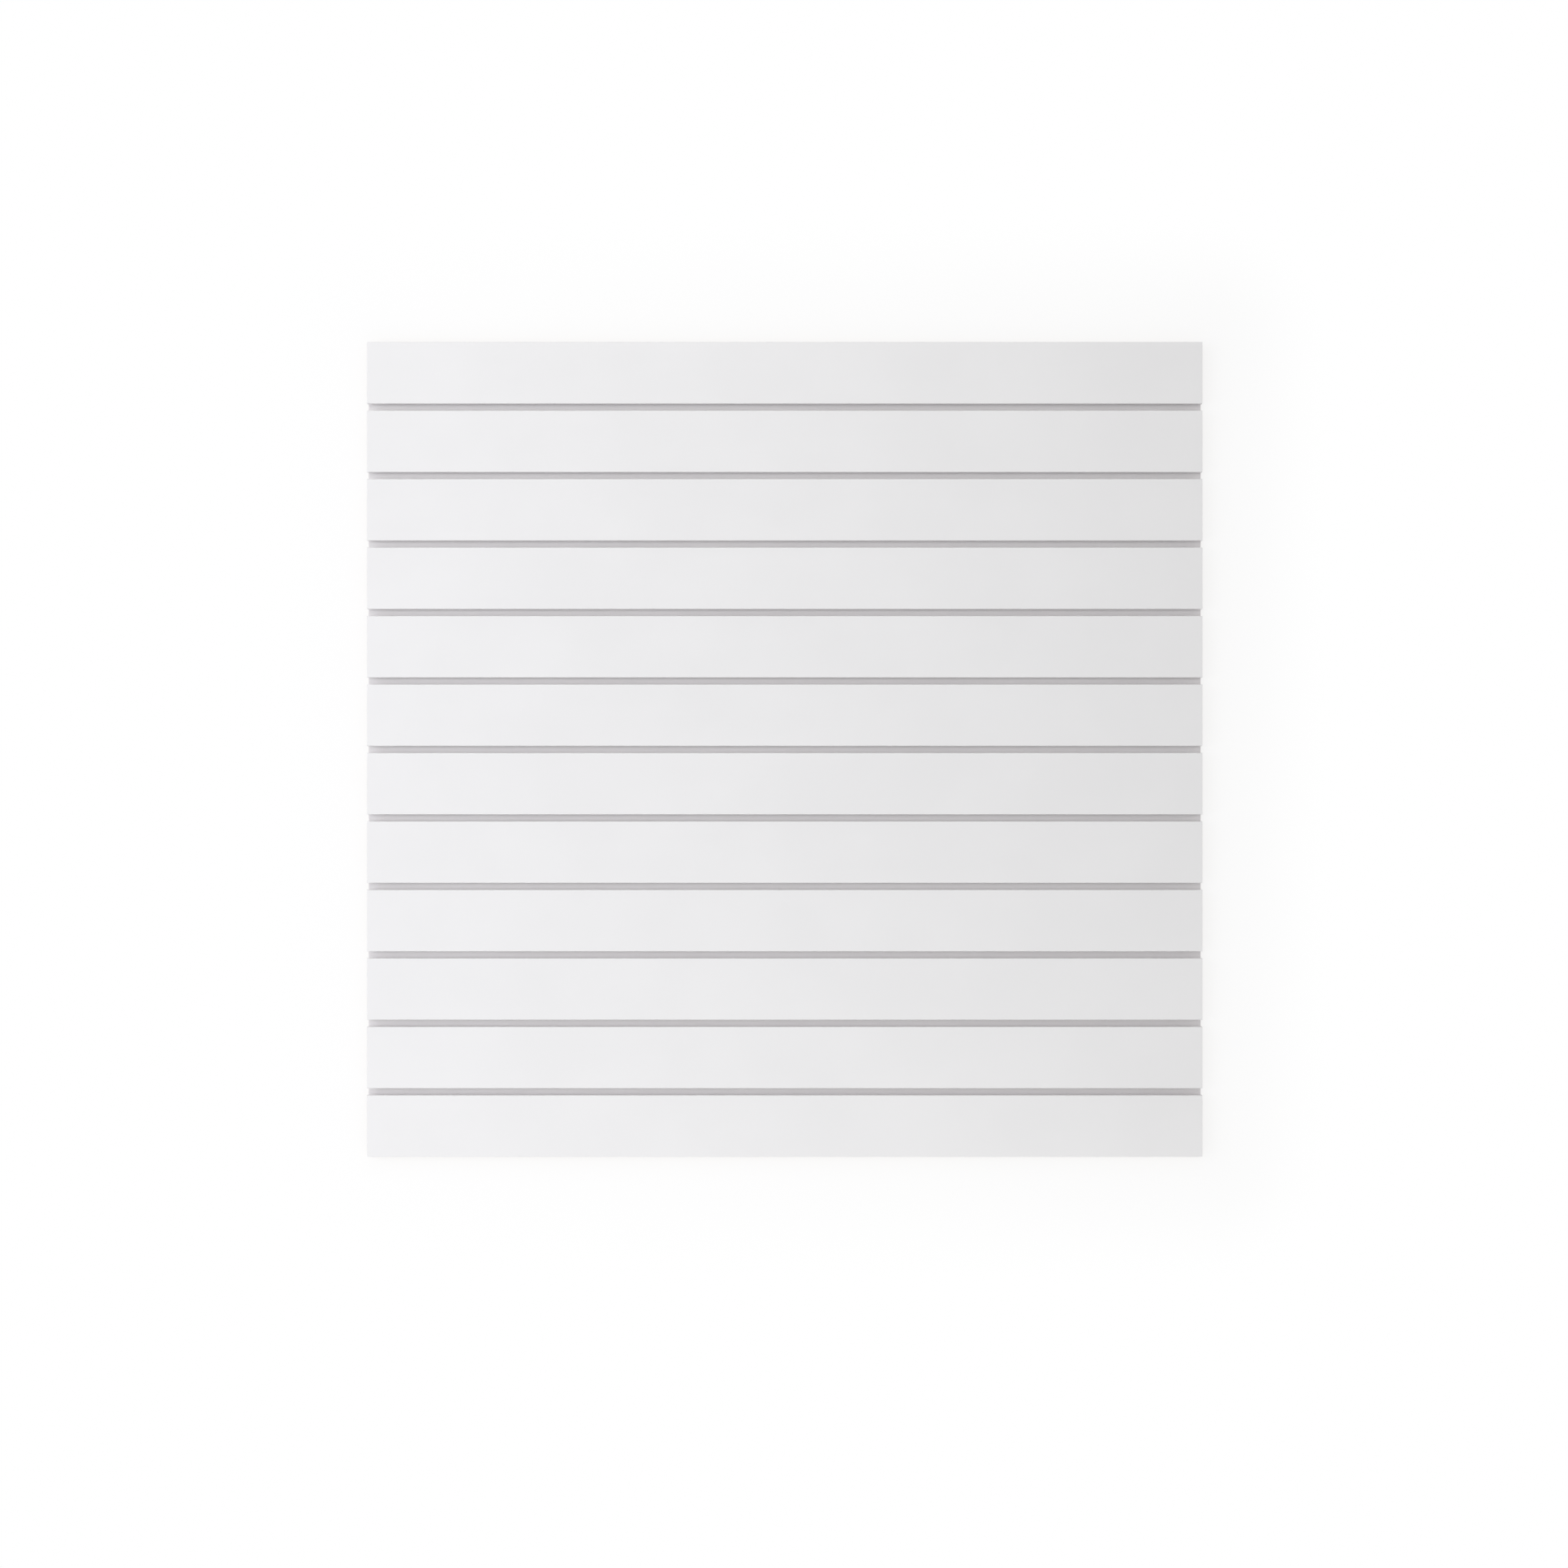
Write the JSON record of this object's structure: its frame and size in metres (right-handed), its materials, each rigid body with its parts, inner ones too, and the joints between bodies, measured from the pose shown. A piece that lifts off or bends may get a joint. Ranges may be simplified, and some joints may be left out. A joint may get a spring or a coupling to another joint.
{
  "type": "grooved mdf panel",
  "caption": "Flat white MDF slatwall board with parallel T-shaped grooves milled along its face, hung on a wall to hold slide-in hooks, brackets and shelves.",
  "frame": {"origin": "middle of the back face, on which the panel lies", "axes": "+X along the grooves, +Y up the wall when the panel hangs (the top of the picture), +Z out of the slatted face, which points up as stored"},
  "size_m": [1.22, 1.19, 0.018],
  "materials": {
    "white_lacquered_mdf": "satin white lacquer on MDF, with the sawn edges and the back left raw"
  },
  "bodies": {
    "root": {"grooved_panel": "white_lacquered_mdf"}
  },
  "joints": []
}
